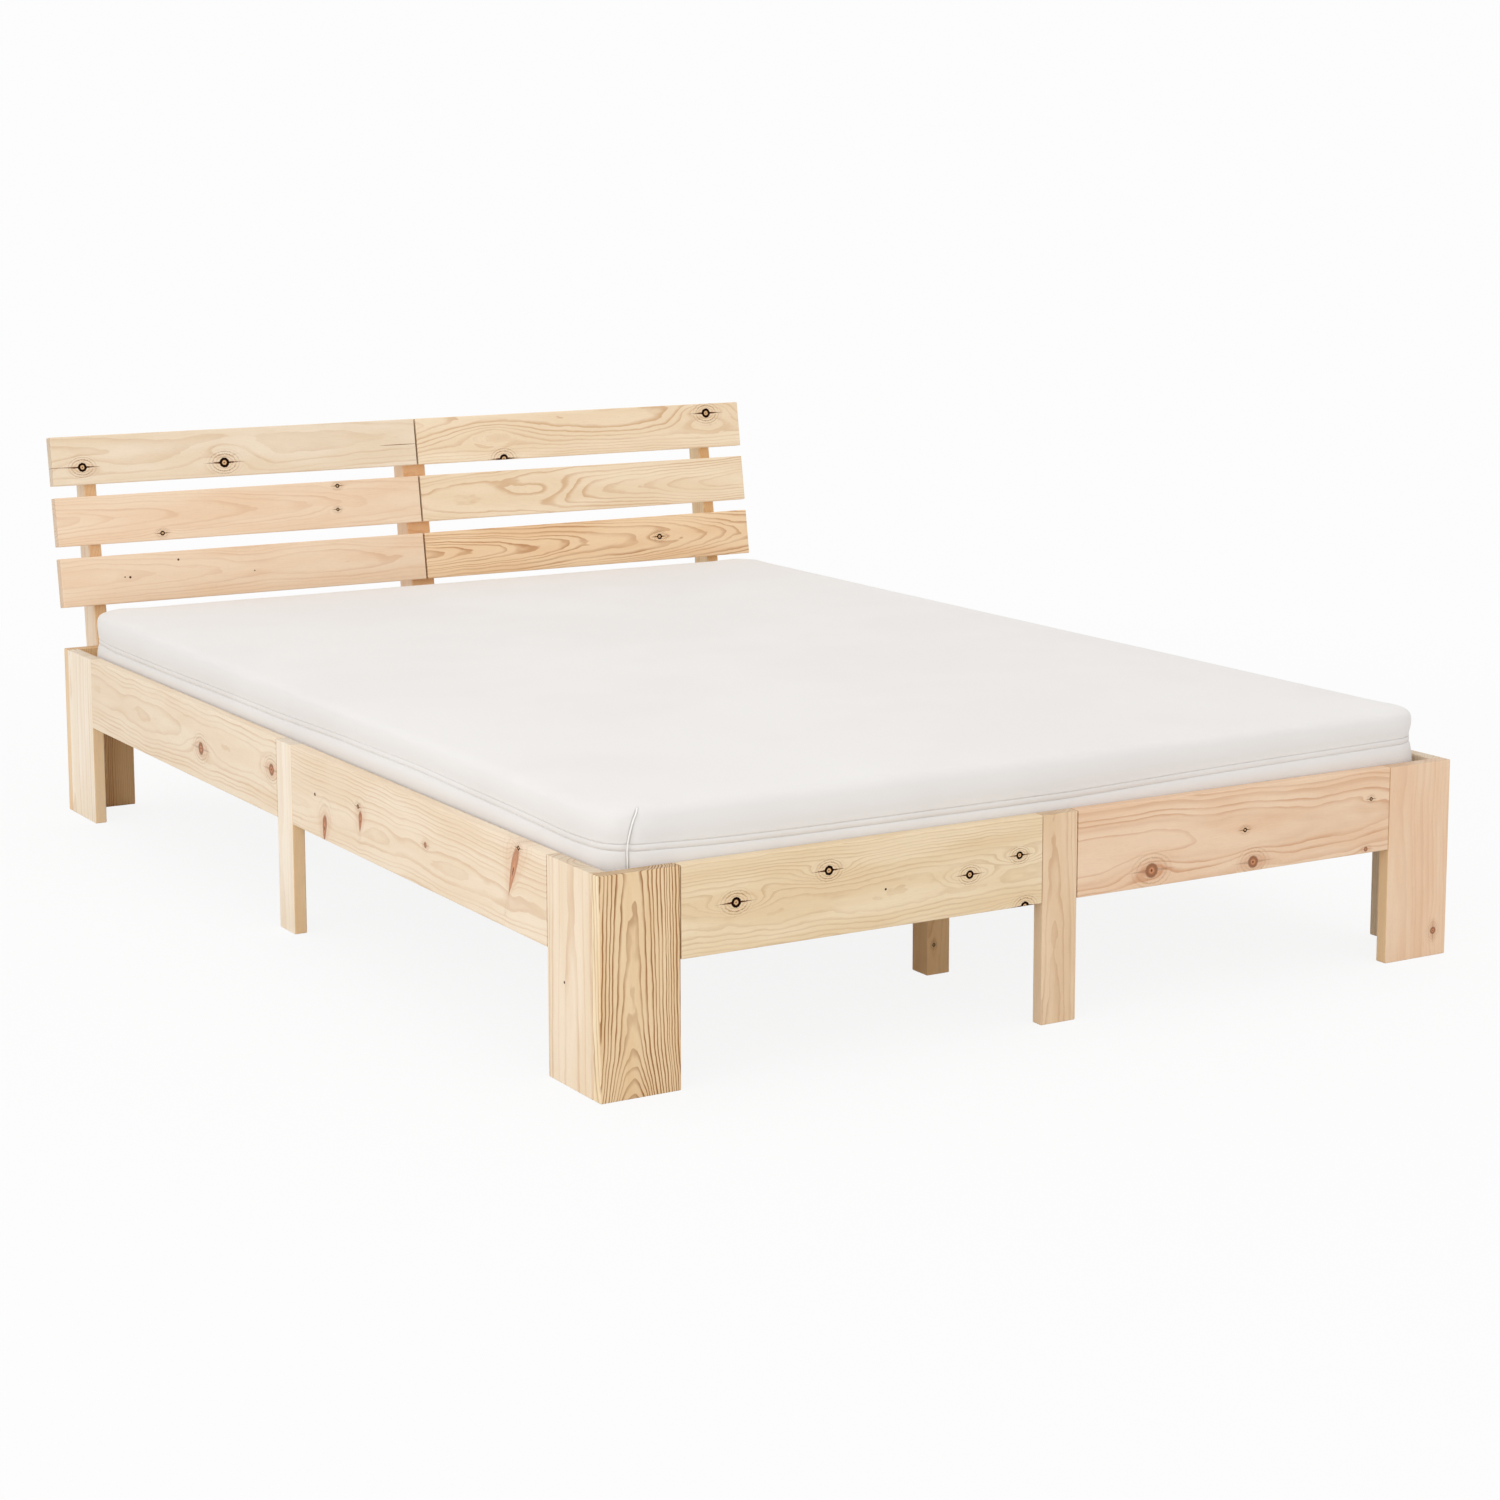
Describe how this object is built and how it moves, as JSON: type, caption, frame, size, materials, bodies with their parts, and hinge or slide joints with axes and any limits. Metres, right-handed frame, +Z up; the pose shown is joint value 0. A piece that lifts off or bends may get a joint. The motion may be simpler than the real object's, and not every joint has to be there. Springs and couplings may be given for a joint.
{
  "type": "bed",
  "caption": "Low double bed in natural pine: flat plank frame on board legs, a leaning slatted headboard, and a white zipped foam mattress on a roll-out slatted base.",
  "frame": {"origin": "The middle of the rectangle of floor that the whole bed covers, on the floor, midway between the outer faces of the sides and midway between the foot face and the rearmost edge of the headboard posts.", "axes": "+X runs across the bed to the right-hand side of someone who stands at the foot and looks at the headboard, +Y runs from the foot to the headboard, +Z is up."},
  "size_m": [1.45, 2.1762, 0.6822],
  "materials": {
    "pine_frame": "satin",
    "pine_inner": "matte",
    "beech": "matte",
    "zinc": "satin",
    "tape": "matte",
    "mattress_cover": "matte",
    "mattress_foam": "matte"
  },
  "bodies": {
    "bed_frame": {"corner_leg_foot_left_end_plank": "pine_frame", "corner_leg_foot_left_side_plank": "pine_frame", "side_rail_left_foot": "pine_frame", "foot_rail_left": "pine_frame", "corner_leg_foot_right_end_plank": "pine_frame", "corner_leg_foot_right_side_plank": "pine_frame", "side_rail_right_foot": "pine_frame", "foot_rail_right": "pine_frame", "mid_leg_foot": "pine_frame", "ledger_foot": "pine_inner", "centre_leg_foot": "pine_inner", "corner_leg_head_left_end_plank": "pine_frame", "corner_leg_head_left_side_plank": "pine_frame", "side_rail_left_head": "pine_frame", "head_rail_left": "pine_frame", "corner_leg_head_right_end_plank": "pine_frame", "corner_leg_head_right_side_plank": "pine_frame", "side_rail_right_head": "pine_frame", "head_rail_right": "pine_frame", "mid_leg_head": "pine_frame", "ledger_head": "pine_inner", "centre_leg_head": "pine_inner", "mid_leg_left": "pine_frame", "ledger_left": "pine_inner", "mid_leg_right": "pine_frame", "ledger_right": "pine_inner", "centre_beam": "pine_inner", "headboard_post_left": "pine_frame", "headboard_post_centre": "pine_frame", "headboard_post_right": "pine_frame", "headboard_slat_lower_left": "pine_frame", "headboard_slat_lower_right": "pine_frame", "headboard_slat_middle_left": "pine_frame", "headboard_slat_middle_right": "pine_frame", "headboard_slat_upper_left": "pine_frame", "headboard_slat_upper_right": "pine_frame", "joint_tongues": "beech", "headboard_slat_screws": "zinc", "headboard_bolts": "zinc", "headboard_nuts": "zinc"},
    "slatted_base": {"base_slat_01": "pine_inner", "base_slat_02": "pine_inner", "base_slat_03": "pine_inner", "base_slat_04": "pine_inner", "base_slat_05": "pine_inner", "base_slat_06": "pine_inner", "base_slat_07": "pine_inner", "base_slat_08": "pine_inner", "base_slat_09": "pine_inner", "base_slat_10": "pine_inner", "base_slat_11": "pine_inner", "base_slat_12": "pine_inner", "base_slat_13": "pine_inner", "base_tapes": "tape"},
    "mattress": {"mattress_cover": "mattress_cover", "mattress_core": "mattress_foam"}
  },
  "joints": [
    {"name": "base_lift", "type": "slide", "parent": "bed_frame", "child": "slatted_base", "axis": [0, 0, 1], "range_m": [0, 0.5]},
    {"name": "mattress_lift", "type": "slide", "parent": "slatted_base", "child": "mattress", "axis": [0, 0, 1], "range_m": [0, 0.5]}
  ]
}
